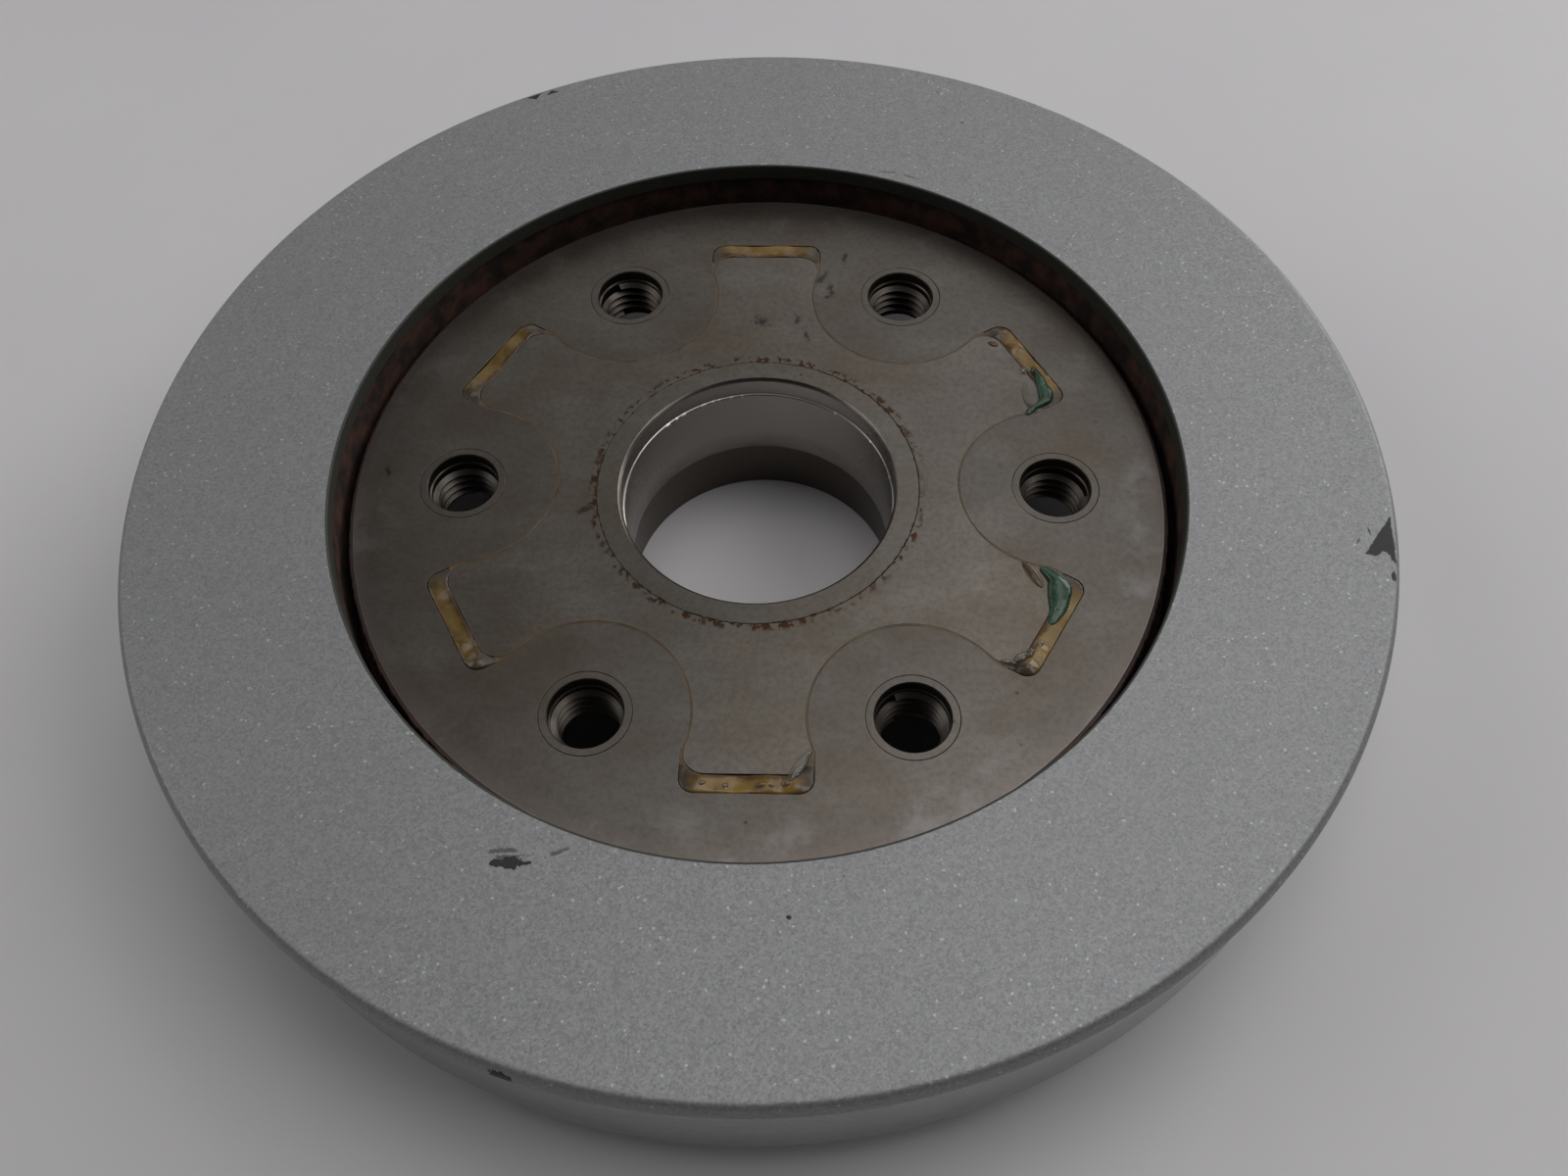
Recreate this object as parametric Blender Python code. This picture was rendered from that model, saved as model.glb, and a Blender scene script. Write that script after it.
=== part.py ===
"""Bonded brake disc rotor: a drum-like rim with a coated friction face, and a star hub set in a carrier.

Metres, +Z up. The origin is on the disc's axis at the underside of the hub boss, and the friction
face looks up. The six threaded holes lie at 0, 60, 120 ... degrees from +X, and the hub's six arms
lie half way between them.
"""

import math

import bmesh
import bpy
from mathutils import Matrix, Vector

# Driving dimensions.
ARM_COUNT = 6
OVERALL_HEIGHT = 0.0340
GAP = 0.0003  # clearance that separate solids keep

FACE_RADIUS = 0.0900
FACE_EDGE_RADIUS = 0.0913
FACE_INNER_RADIUS = 0.0618
FACE_THICKNESS = 0.0026

RIM_RADIUS = 0.0906
RIM_WALL_RADIUS = 0.0622
RIM_LEDGE_RADIUS = 0.0560
RIM_UNDERSIDE_DEPTH = 0.0230  # below the friction face
RIM_CHAMFER = 0.0006

RECESS_DEPTH = 0.0066
CARRIER_RADIUS = 0.0608
CARRIER_CHAMFER = 0.0008
PLATE_THICKNESS = 0.0095

HOLE_CIRCLE_RADIUS = 0.04436
INSERT_RADIUS = 0.0064
INSERT_MOUTH_RADIUS = 0.00525
INSERT_THREAD_RADIUS = 0.0047
INSERT_MOUTH_DEPTH = 0.0018

LOBE_RADIUS = 0.01425  # carrier metal round each threaded hole
ARM_TIP_RADIUS = 0.0471
POCKET_TIP_RADIUS = 0.0499
ARM_CORNER_RADIUS = 0.0030
POCKET_CORNER_RADIUS = 0.0021

BOSS_RADIUS = 0.0290
BOSS_CHAMFER = 0.0010
BOSS_BORE_RADIUS = 0.0212

SLEEVE_RADIUS = 0.0241
SLEEVE_BORE_RADIUS = 0.0202
SLEEVE_MOUTH_RADIUS = 0.0205
SLEEVE_MOUTH_DEPTH = 0.0034
SLEEVE_MOUTH_CHAMFER = 0.0004
SLEEVE_LENGTH = 0.0168

BEAD_HALF_LENGTH = 0.0068
BEAD_CORNER_RADIUS = 0.0008
BEAD_DEPTH = 0.0090

# Sealant dabs: arm angle, centre along and across the arm, half length along and across, height.
SEALANT_DABS = (
    (30.0, 0.0466, -0.0048, 0.0023, 0.0050, 0.0010),
    (-30.0, 0.0468, 0.0062, 0.0020, 0.0040, 0.0009),
)

RIM_SEGMENTS = 96
SLEEVE_SEGMENTS = 72
HOLE_SEGMENTS = 32

# Levels worked out from the driving dimensions.
FLOOR_Z = OVERALL_HEIGHT - RECESS_DEPTH
PLATE_UNDERSIDE_Z = FLOOR_Z - PLATE_THICKNESS
RIM_UNDERSIDE_Z = OVERALL_HEIGHT - RIM_UNDERSIDE_DEPTH
SLEEVE_UNDERSIDE_Z = FLOOR_Z - SLEEVE_LENGTH
SECTOR = 2 * math.pi / ARM_COUNT


def clear_scene():
    for old in list(bpy.data.objects):
        bpy.data.objects.remove(old, do_unlink=True)


def make_material(name, colour, roughness, metallic):
    material = bpy.data.materials.new(name)
    material.use_nodes = True
    shader = material.node_tree.nodes["Principled BSDF"]
    shader.inputs["Base Color"].default_value = (*colour, 1.0)
    shader.inputs["Roughness"].default_value = roughness
    shader.inputs["Metallic"].default_value = metallic
    return material


def finish_object(name, bm, material):
    """Turn a bmesh into a linked object with outward normals and smooth round sides."""
    bmesh.ops.recalc_face_normals(bm, faces=bm.faces[:])
    mesh = bpy.data.meshes.new(name)
    bm.to_mesh(mesh)
    bm.free()
    mesh.shade_smooth()
    mesh.set_sharp_from_angle(angle=math.radians(30))
    mesh.materials.append(material)
    piece = bpy.data.objects.new(name, mesh)
    bpy.context.collection.objects.link(piece)
    return piece


def turned(profile, segments, closed=True):
    """Spin a list of (radius, z) points round the Z axis. An open profile starts and ends on it."""
    bm = bmesh.new()
    points = [bm.verts.new((radius, 0.0, z)) for radius, z in profile]
    edges = [bm.edges.new(pair) for pair in zip(points, points[1:])]
    if closed:
        edges.append(bm.edges.new((points[-1], points[0])))
    bmesh.ops.spin(
        bm, geom=points + edges, cent=(0, 0, 0), axis=(0, 0, 1),
        angle=2 * math.pi, steps=segments, use_merge=True,
    )
    bmesh.ops.remove_doubles(bm, verts=bm.verts[:], dist=1e-6)
    return bm


def prism(outline, low, high):
    """Extrude a closed outline of (x, y) points from one level up to another."""
    bm = bmesh.new()
    base = bm.faces.new([bm.verts.new((x, y, low)) for x, y in outline])
    grown = bmesh.ops.extrude_face_region(bm, geom=[base])
    raised = [item for item in grown["geom"] if isinstance(item, bmesh.types.BMVert)]
    bmesh.ops.translate(bm, verts=raised, vec=(0, 0, high - low))
    return bm


def arc(centre, radius, start, end, steps):
    """Points along a circular arc, both ends included."""
    angles = [start + (end - start) * step / steps for step in range(steps + 1)]
    return [
        (centre[0] + radius * math.cos(angle), centre[1] + radius * math.sin(angle))
        for angle in angles
    ]


def turn_points(points, angle):
    cosine, sine = math.cos(angle), math.sin(angle)
    return [(x * cosine - y * sine, x * sine + y * cosine) for x, y in points]


def star_outline(lobe_radius, tip_radius, corner_radius, flank_limit=None):
    """Outline of a six-armed star whose hollows are arcs round the threaded holes.

    One half of an arm is an arc round the neighbouring hole, then a corner arc up to the flat tip.
    With flank_limit the flank leaves the hole's arc there and runs straight out to the corner.
    """
    hole = (
        HOLE_CIRCLE_RADIUS * math.cos(SECTOR / 2),
        HOLE_CIRCLE_RADIUS * math.sin(SECTOR / 2),
    )
    inward = math.atan2(-hole[1], -hole[0])
    corner_x = tip_radius - corner_radius
    if flank_limit is None:
        reach = lobe_radius + corner_radius
        corner_y = hole[1] - math.sqrt(reach ** 2 - (corner_x - hole[0]) ** 2)
        leave = math.atan2(corner_y - hole[1], corner_x - hole[0])
        corner_start = leave + math.pi
    else:
        corner_y = flank_limit - corner_radius
        leave = -math.asin((hole[1] - flank_limit) / lobe_radius)
        corner_start = math.pi / 2
    flank = arc(hole, lobe_radius, inward, leave, 14)
    if flank_limit is None:
        flank = flank[:-1]
    corner = arc((corner_x, corner_y), corner_radius, corner_start, 0.0, 5)
    half = flank + corner
    mirrored = [(x, -y) for x, y in half]
    arm = (mirrored + half[::-1])[:-1]
    return [point for index in range(ARM_COUNT) for point in turn_points(arm, (index + 0.5) * SECTOR)]


def hide_cutter(piece):
    piece.hide_render = True
    piece.display_type = "WIRE"


def boolean(piece, other, operation):
    modifier = piece.modifiers.new(operation.title(), "BOOLEAN")
    modifier.operation = operation
    modifier.solver = "EXACT"
    modifier.object = other


def make_friction_face(material):
    """Coated friction ring with a rounded outer edge that spreads to its widest at the foot."""
    top, foot = OVERALL_HEIGHT, OVERALL_HEIGHT - FACE_THICKNESS
    shoulder = FACE_EDGE_RADIUS - FACE_RADIUS
    rounding = [
        (FACE_RADIUS + shoulder * math.sin(angle), top - FACE_THICKNESS * 0.85 * (1 - math.cos(angle)))
        for angle in [math.pi / 2 * step / 5 for step in range(6)]
    ]
    profile = rounding + [(FACE_EDGE_RADIUS, foot), (FACE_INNER_RADIUS, foot), (FACE_INNER_RADIUS, top)]
    return finish_object("friction_face", turned(profile, RIM_SEGMENTS), material)


def make_rim_body(material):
    """Plain steel drum behind the friction face, with a ledge inside that carries the carrier."""
    top = OVERALL_HEIGHT - FACE_THICKNESS - GAP
    ledge = PLATE_UNDERSIDE_Z - GAP
    profile = [
        (RIM_RADIUS, top),
        (RIM_RADIUS, RIM_UNDERSIDE_Z + RIM_CHAMFER),
        (RIM_RADIUS - RIM_CHAMFER, RIM_UNDERSIDE_Z),
        (RIM_LEDGE_RADIUS + RIM_CHAMFER, RIM_UNDERSIDE_Z),
        (RIM_LEDGE_RADIUS, RIM_UNDERSIDE_Z + RIM_CHAMFER),
        (RIM_LEDGE_RADIUS, ledge),
        (RIM_WALL_RADIUS, ledge),
        (RIM_WALL_RADIUS, top),
    ]
    return finish_object("rim_body", turned(profile, RIM_SEGMENTS), material)


def make_carrier_plate(material):
    """Round plate with a star-shaped pocket right through it and six holes for the inserts."""
    profile = [
        (0.0, FLOOR_Z),
        (CARRIER_RADIUS - CARRIER_CHAMFER, FLOOR_Z),
        (CARRIER_RADIUS, FLOOR_Z - CARRIER_CHAMFER),
        (CARRIER_RADIUS, PLATE_UNDERSIDE_Z),
        (0.0, PLATE_UNDERSIDE_Z),
    ]
    carrier = finish_object("carrier_plate", turned(profile, RIM_SEGMENTS, closed=False), material)
    over = PLATE_THICKNESS / 4
    low, high = PLATE_UNDERSIDE_Z - over, FLOOR_Z + over
    pocket = star_outline(LOBE_RADIUS, POCKET_TIP_RADIUS, POCKET_CORNER_RADIUS, flank_limit=0.0090)
    cutter_mesh = prism(pocket, low, high)
    for index in range(ARM_COUNT):
        place = Matrix.Rotation(index * SECTOR, 4, "Z") @ Matrix.Translation(
            (HOLE_CIRCLE_RADIUS, 0, (low + high) / 2)
        )
        bmesh.ops.create_cone(
            cutter_mesh, cap_ends=True, segments=HOLE_SEGMENTS, radius1=INSERT_RADIUS + GAP,
            radius2=INSERT_RADIUS + GAP, depth=high - low, matrix=place,
        )
    cutter = finish_object("carrier_cutter", cutter_mesh, material)
    hide_cutter(cutter)
    boolean(carrier, cutter, "DIFFERENCE")
    return carrier


def make_star_hub(material):
    """Six-armed hub plate, flush with the carrier, on a boss that reaches down to the origin."""
    outline = star_outline(LOBE_RADIUS + GAP, ARM_TIP_RADIUS, ARM_CORNER_RADIUS)
    hub = finish_object("star_hub", prism(outline, PLATE_UNDERSIDE_Z, FLOOR_Z), material)
    overlap = PLATE_THICKNESS / 2
    boss_profile = [
        (0.0, PLATE_UNDERSIDE_Z + overlap),
        (BOSS_RADIUS, PLATE_UNDERSIDE_Z + overlap),
        (BOSS_RADIUS, BOSS_CHAMFER),
        (BOSS_RADIUS - BOSS_CHAMFER, 0.0),
        (0.0, 0.0),
    ]
    boss = finish_object("boss_blank", turned(boss_profile, SLEEVE_SEGMENTS, closed=False), material)
    seat = SLEEVE_UNDERSIDE_Z - GAP
    over = PLATE_THICKNESS / 4
    bore_profile = [
        (0.0, FLOOR_Z + over),
        (SLEEVE_RADIUS + GAP, FLOOR_Z + over),
        (SLEEVE_RADIUS + GAP, seat),
        (BOSS_BORE_RADIUS, seat),
        (BOSS_BORE_RADIUS, -over),
        (0.0, -over),
    ]
    bore = finish_object("bore_cutter", turned(bore_profile, SLEEVE_SEGMENTS, closed=False), material)
    for tool, operation in ((boss, "UNION"), (bore, "DIFFERENCE")):
        hide_cutter(tool)
        boolean(hub, tool, operation)
    return hub


def make_bore_sleeve(material):
    """Plain sleeve in the hub, with a wider lead-in at its mouth."""
    shoulder = FLOOR_Z - SLEEVE_MOUTH_DEPTH
    chamfer = SLEEVE_MOUTH_CHAMFER
    profile = [
        (SLEEVE_RADIUS, FLOOR_Z),
        (SLEEVE_RADIUS, SLEEVE_UNDERSIDE_Z),
        (SLEEVE_BORE_RADIUS, SLEEVE_UNDERSIDE_Z),
        (SLEEVE_BORE_RADIUS, shoulder),
        (SLEEVE_MOUTH_RADIUS, shoulder + chamfer),
        (SLEEVE_MOUTH_RADIUS, FLOOR_Z - chamfer),
        (SLEEVE_MOUTH_RADIUS + chamfer, FLOOR_Z),
    ]
    return finish_object("bore_sleeve", turned(profile, SLEEVE_SEGMENTS), material)


def make_thread_insert(index, material):
    """Round insert flush with both sides of the plate: a plain mouth over the tapped bore."""
    profile = [
        (INSERT_RADIUS, FLOOR_Z),
        (INSERT_RADIUS, PLATE_UNDERSIDE_Z),
        (INSERT_THREAD_RADIUS, PLATE_UNDERSIDE_Z),
        (INSERT_THREAD_RADIUS, FLOOR_Z - INSERT_MOUTH_DEPTH),
        (INSERT_MOUTH_RADIUS, FLOOR_Z - INSERT_MOUTH_DEPTH),
        (INSERT_MOUTH_RADIUS, FLOOR_Z),
    ]
    insert = finish_object("thread_insert_%d" % (index + 1), turned(profile, HOLE_SEGMENTS), material)
    centre = Matrix.Rotation(index * SECTOR, 4, "Z") @ Vector((HOLE_CIRCLE_RADIUS, 0, 0))
    insert.location = centre
    return insert


def make_resin_bead(index, material):
    """Bonding resin that fills the space between an arm's tip and the end of its pocket."""
    near, far = ARM_TIP_RADIUS + GAP, POCKET_TIP_RADIUS - GAP
    corner = BEAD_CORNER_RADIUS
    half = BEAD_HALF_LENGTH - corner
    outline = (
        arc((far - corner, half), corner, 0.0, math.pi / 2, 3)
        + arc((near + corner, half), corner, math.pi / 2, math.pi, 3)
        + arc((near + corner, -half), corner, math.pi, 1.5 * math.pi, 3)
        + arc((far - corner, -half), corner, 1.5 * math.pi, 2 * math.pi, 3)
    )
    bead = finish_object("resin_bead_%d" % (index + 1), prism(outline, FLOOR_Z - BEAD_DEPTH, FLOOR_Z), material)
    bead.rotation_euler.z = (index + 0.5) * SECTOR
    return bead


def make_sealant_dab(index, material):
    """Flat dome of sealant lying over the corner of an arm."""
    arm, along, across, half_along, half_across, height = SEALANT_DABS[index]
    rings = [(math.cos(angle), math.sin(angle)) for angle in [math.pi / 2 * step / 4 for step in range(5)]]
    profile = [(0.0, 0.0)] + rings[:-1] + [(0.0, 1.0)]
    dab_mesh = turned(profile, 20, closed=False)
    bmesh.ops.scale(dab_mesh, verts=dab_mesh.verts[:], vec=(half_along, half_across, height))
    dab = finish_object("sealant_dab_%d" % (index + 1), dab_mesh, material)
    turn = math.radians(arm)
    dab.location = Matrix.Rotation(turn, 4, "Z") @ Vector((along, across, FLOOR_Z + GAP))
    dab.rotation_euler.z = turn
    return dab


def main():
    clear_scene()
    paint = make_material("friction_paint", (0.36, 0.37, 0.39), 0.45, 0.6)
    rim_steel = make_material("rim_steel", (0.60, 0.60, 0.60), 0.25, 1.0)
    plate_steel = make_material("carrier_steel", (0.42, 0.40, 0.37), 0.40, 1.0)
    hub_steel = make_material("hub_steel", (0.44, 0.42, 0.39), 0.38, 1.0)
    sleeve_steel = make_material("sleeve_steel", (0.48, 0.46, 0.43), 0.30, 1.0)
    insert_steel = make_material("insert_steel", (0.40, 0.39, 0.36), 0.35, 1.0)
    resin = make_material("amber_resin", (0.45, 0.24, 0.06), 0.20, 0.0)
    sealant = make_material("green_sealant", (0.05, 0.16, 0.11), 0.18, 0.0)

    make_friction_face(paint)
    make_rim_body(rim_steel)
    make_carrier_plate(plate_steel)
    make_star_hub(hub_steel)
    make_bore_sleeve(sleeve_steel)
    for index in range(ARM_COUNT):
        make_thread_insert(index, insert_steel)
        make_resin_bead(index, resin)
    for index in range(len(SEALANT_DABS)):
        make_sealant_dab(index, sealant)


main()
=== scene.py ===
"""Brake disc rotor on a pale bench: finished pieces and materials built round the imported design."""

import math

import bmesh
import bpy
from mathutils import Matrix, Vector


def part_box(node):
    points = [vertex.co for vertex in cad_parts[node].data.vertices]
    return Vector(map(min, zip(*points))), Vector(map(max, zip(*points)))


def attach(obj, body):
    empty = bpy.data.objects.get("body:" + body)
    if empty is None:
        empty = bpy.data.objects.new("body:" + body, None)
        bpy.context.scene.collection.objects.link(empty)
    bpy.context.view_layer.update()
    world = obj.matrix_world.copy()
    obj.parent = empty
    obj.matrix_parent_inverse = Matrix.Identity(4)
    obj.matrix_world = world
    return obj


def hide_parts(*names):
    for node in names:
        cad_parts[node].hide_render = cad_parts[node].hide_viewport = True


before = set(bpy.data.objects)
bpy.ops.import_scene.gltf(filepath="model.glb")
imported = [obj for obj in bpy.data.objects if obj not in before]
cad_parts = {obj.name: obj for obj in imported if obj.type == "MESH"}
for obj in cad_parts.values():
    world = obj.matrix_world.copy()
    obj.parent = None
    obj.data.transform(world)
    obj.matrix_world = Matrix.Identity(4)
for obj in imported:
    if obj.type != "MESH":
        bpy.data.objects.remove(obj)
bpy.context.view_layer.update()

MM = 0.001
ARM_COUNT = 6
SECTOR = 2 * math.pi / ARM_COUNT

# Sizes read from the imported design.
FACE_LOW, FACE_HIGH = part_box("friction_face")
RIM_LOW, RIM_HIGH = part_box("rim_body")
CARRIER_LOW, CARRIER_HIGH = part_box("carrier_plate")
HUB_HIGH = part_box("star_hub")[1]
SLEEVE_LOW, SLEEVE_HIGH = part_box("bore_sleeve")
INSERT_LOW, INSERT_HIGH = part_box("thread_insert_1")
BEAD_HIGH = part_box("resin_bead_2")[1]

FACE_TOP = FACE_HIGH[2]
FACE_FOOT = FACE_LOW[2]
EDGE_RADIUS = FACE_HIGH[0]
RIM_RADIUS = RIM_HIGH[0]
RIM_TOP = RIM_HIGH[2]
RIM_UNDERSIDE = RIM_LOW[2]
FLOOR = CARRIER_HIGH[2]
PLATE_UNDERSIDE = CARRIER_LOW[2]
CARRIER_RADIUS = CARRIER_HIGH[0]
ARM_TIP = HUB_HIGH[1]
SLEEVE_RADIUS = SLEEVE_HIGH[0]
SLEEVE_UNDERSIDE = SLEEVE_LOW[2]
HOLE_CIRCLE = (INSERT_LOW[0] + INSERT_HIGH[0]) / 2
INSERT_RADIUS = (INSERT_HIGH[0] - INSERT_LOW[0]) / 2
SEAM = FACE_FOOT - RIM_TOP
POCKET_TIP = BEAD_HIGH[1] + SEAM

# Sizes that the boxes above can't tell.
FACE_RADIUS = 90.0 * MM
FACE_INNER = 61.8 * MM
WALL_RADIUS = 62.2 * MM
LEDGE_RADIUS = 56.0 * MM
RIM_CHAMFER = 0.6 * MM
CARRIER_CHAMFER = 0.8 * MM
LOBE_RADIUS = 14.25 * MM
ARM_CORNER = 3.0 * MM
POCKET_CORNER = 2.1 * MM
POCKET_FLANK = 9.0 * MM
BOSS_RADIUS = 29.0 * MM
BOSS_BORE = 21.2 * MM
BORE_RADIUS = 20.2 * MM
MOUTH_RADIUS = 20.5 * MM
MOUTH_DEPTH = 3.4 * MM
THREAD_PITCH = 1.5 * MM
THREAD_ROOT = 5.05 * MM
THREAD_CREST = 4.30 * MM
INSERT_MOUTH = 5.25 * MM
INSERT_MOUTH_DEPTH = 1.8 * MM

# Fits and finishing sizes: points nearer than MERGE are one, cutters stand out by OVERCUT, and a
# cutter is wider than its part by CLEARANCE.
SOFT_EDGE = 0.12 * MM
CRISP_EDGE = 0.05 * MM
MERGE = 0.002 * MM
OVERCUT = 1.0 * MM
CLEARANCE = 0.06 * MM
RESIN_GAP = 0.02 * MM
RESIN_VOXEL = 0.24 * MM

# Sides of a large turned piece, of a boss or bore, and of a small hole.
TURNED_STEPS = 288
BORE_STEPS = 192
HOLE_STEPS = 96

# Smoothing angle that rounds a turned wall but leaves a flat face with a broken edge flat.
FLAT_FACED = 20


# ---------------------------------------------------------------- modelling helpers


def deselect_all():
    if bpy.context.object and bpy.context.object.mode != "OBJECT":
        bpy.ops.object.mode_set(mode="OBJECT")
    bpy.ops.object.select_all(action="DESELECT")


def activate(piece):
    deselect_all()
    piece.select_set(True)
    bpy.context.view_layer.objects.active = piece


def start_point(name, place):
    """One vertex in edit mode, ready to be extruded and spun."""
    deselect_all()
    bpy.ops.mesh.primitive_plane_add(size=MM, location=place)
    piece = bpy.context.object
    piece.name = name
    bpy.ops.object.mode_set(mode="EDIT")
    bpy.ops.mesh.select_mode(type="VERT")
    bpy.ops.mesh.select_all(action="SELECT")
    bpy.ops.mesh.merge(type="CENTER")
    return piece


def extrude_by(x, y, z):
    bpy.ops.mesh.extrude_vertices_move(TRANSFORM_OT_translate={"value": (x, y, z)})


def arc_round(centre, angle, steps):
    """Carry the end point round a centre, counter-clockwise seen from above for a positive angle."""
    bpy.ops.mesh.spin(steps=steps, angle=-angle, center=centre, axis=(0, 0, 1))


def close_up(piece):
    """Merge doubled points, turn all faces outwards and leave the object at the origin."""
    bpy.ops.mesh.select_all(action="SELECT")
    bpy.ops.mesh.remove_doubles(threshold=MERGE)
    bpy.ops.mesh.normals_make_consistent(inside=False)
    bpy.ops.object.mode_set(mode="OBJECT")
    activate(piece)
    bpy.ops.object.transform_apply(location=True, rotation=True, scale=True)


def smooth(piece, degrees=35):
    activate(piece)
    bpy.ops.object.shade_smooth_by_angle(angle=math.radians(degrees))


def lathe(name, outline, steps=TURNED_STEPS):
    """Draw a closed outline of (radius, z) points and spin it once round the Z axis."""
    piece = start_point(name, (outline[0][0], 0, outline[0][1]))
    for here, there in zip(outline, outline[1:] + outline[:1]):
        extrude_by(there[0] - here[0], 0, there[1] - here[1])
    bpy.ops.mesh.select_all(action="SELECT")
    bpy.ops.mesh.spin(steps=steps, angle=2 * math.pi, center=(0, 0, 0), axis=(0, 0, 1))
    close_up(piece)
    smooth(piece)
    return piece


def rounded(centre, radius, start, end, steps):
    """Outline points along an arc, angles in degrees from the outward direction."""
    angles = [math.radians(start + (end - start) * step / steps) for step in range(steps + 1)]
    return [(centre[0] + radius * math.cos(a), centre[1] + radius * math.sin(a)) for a in angles]


def turned_place(x, y, angle):
    return (x * math.cos(angle) - y * math.sin(angle), x * math.sin(angle) + y * math.cos(angle))


def star_prism(name, lobe, tip, corner, flank, low, high):
    """Draw a six-armed star from arcs and straight lines, then raise it from low to high.

    lobe is the radius of the hollows round the holes. With a flank, an arm runs straight at that
    half width from the hollow to its corner; without one, the hollow runs into the corner's arc.
    """
    hole_x, hole_y = turned_place(HOLE_CIRCLE, 0, SECTOR / 2)
    corner_x = tip - corner
    if flank:
        corner_y = flank - corner
        leave = math.asin((hole_y - flank) / lobe)
        turn = math.pi / 2
    else:
        reach = lobe + corner
        corner_y = hole_y - math.sqrt(reach ** 2 - (corner_x - hole_x) ** 2)
        leave = math.atan2(hole_y - corner_y, corner_x - hole_x)
        turn = math.pi - leave
    sweep = 2 * (math.pi - leave - SECTOR / 2)
    touch = (hole_x + lobe * math.cos(leave), hole_y - lobe * math.sin(leave))
    start = turned_place(touch[0], touch[1], -SECTOR / 2)
    piece = start_point(name, (*start, low))
    for index in range(ARM_COUNT):
        arm = (index + 0.5) * SECTOR
        hole = turned_place(HOLE_CIRCLE, 0, index * SECTOR)
        arc_round((*hole, low), -sweep, 64)
        if flank:
            extrude_by(*turned_place(corner_x - touch[0], 0, arm), 0)
        for side in (-1, 1):
            centre = turned_place(corner_x, side * corner_y, arm)
            arc_round((*centre, low), turn, 14)
            if side < 0:
                extrude_by(*turned_place(0, 2 * corner_y, arm), 0)
        if flank:
            extrude_by(*turned_place(touch[0] - corner_x, 0, arm), 0)
    bpy.ops.mesh.select_all(action="SELECT")
    bpy.ops.mesh.remove_doubles(threshold=MERGE)
    bpy.ops.mesh.edge_face_add()
    bpy.ops.mesh.extrude_region_move(TRANSFORM_OT_translate={"value": (0, 0, high - low)})
    close_up(piece)
    return piece


def cylinder(name, radius, low, high, place=(0, 0), vertices=HOLE_STEPS):
    deselect_all()
    bpy.ops.mesh.primitive_cylinder_add(
        vertices=vertices, radius=radius, depth=high - low, location=(*place, (low + high) / 2)
    )
    piece = bpy.context.object
    piece.name = name
    bpy.ops.object.transform_apply(location=True, rotation=True, scale=True)
    return piece


def carve(piece, tool, operation="DIFFERENCE"):
    """Apply an exact Boolean and throw the tool away."""
    activate(piece)
    modifier = piece.modifiers.new(operation.title(), "BOOLEAN")
    modifier.operation = operation
    modifier.solver = "EXACT"
    modifier.object = tool
    bpy.ops.object.modifier_apply(modifier=modifier.name)
    bpy.data.objects.remove(tool, do_unlink=True)


def break_edges(piece, level, width=SOFT_EDGE):
    """Round the sharp edges that lie in one level of the piece."""
    activate(piece)
    bpy.ops.object.mode_set(mode="EDIT")
    bpy.ops.mesh.select_mode(type="EDGE")
    bpy.ops.mesh.select_all(action="DESELECT")
    mesh = bmesh.from_edit_mesh(piece.data)
    for edge in mesh.edges:
        in_level = all(abs(point.co.z - level) < 0.01 * MM for point in edge.verts)
        if in_level and edge.is_manifold and edge.calc_face_angle() > math.radians(60):
            edge.select_set(True)
    bmesh.update_edit_mesh(piece.data)
    bpy.ops.mesh.bevel(offset=width, segments=2, affect="EDGES")
    bpy.ops.object.mode_set(mode="OBJECT")


def copy_of(piece, name):
    """A separate copy with its own mesh."""
    activate(piece)
    bpy.ops.object.duplicate()
    twin = bpy.context.object
    twin.name = name
    return twin


def box_tool(name, place, size, turn=0.0):
    deselect_all()
    bpy.ops.mesh.primitive_cube_add(size=1.0, location=place, rotation=(0, 0, turn))
    tool = bpy.context.object
    tool.name = name
    tool.scale = size
    bpy.ops.object.transform_apply(location=True, rotation=True, scale=True)
    return tool


def apply_modifier(piece, kind, **settings):
    activate(piece)
    modifier = piece.modifiers.new(kind.title(), kind)
    for key, value in settings.items():
        setattr(modifier, key, value)
    bpy.ops.object.modifier_apply(modifier=modifier.name)


def roughen(piece, size, depth):
    """Push the surface in and out by a cloudy pattern whose lumps have the given size."""
    clouds = bpy.data.textures.new("lumps", "CLOUDS")
    clouds.noise_scale = size
    clouds.noise_depth = 1
    apply_modifier(
        piece, "DISPLACE", texture=clouds, texture_coords="LOCAL", strength=depth, mid_level=0.5
    )


def pull(piece, place, shift, reach):
    """Drag the point nearest to a place, taking its neighbours along with a smooth falloff."""
    activate(piece)
    bpy.ops.object.mode_set(mode="EDIT")
    bpy.ops.mesh.select_mode(type="VERT")
    bpy.ops.mesh.select_all(action="DESELECT")
    mesh = bmesh.from_edit_mesh(piece.data)
    target = Vector(place)
    nearest = min(mesh.verts, key=lambda point: (point.co - target).length_squared)
    nearest.select_set(True)
    bmesh.update_edit_mesh(piece.data)
    bpy.ops.transform.translate(
        value=shift, use_proportional_edit=True, proportional_edit_falloff="SMOOTH",
        proportional_size=reach,
    )
    bpy.ops.object.mode_set(mode="OBJECT")


def settle(piece, slot, material, *nodes):
    """Give a finished piece its material, hang it under the root body and hide the design nodes it
    replaces, if any are given.
    """
    piece.data.name = piece.name
    piece.data.materials.clear()
    piece.data.materials.append(material)
    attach(piece, "root")
    if nodes:
        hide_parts(*nodes)


# ---------------------------------------------------------------- shader helpers


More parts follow.
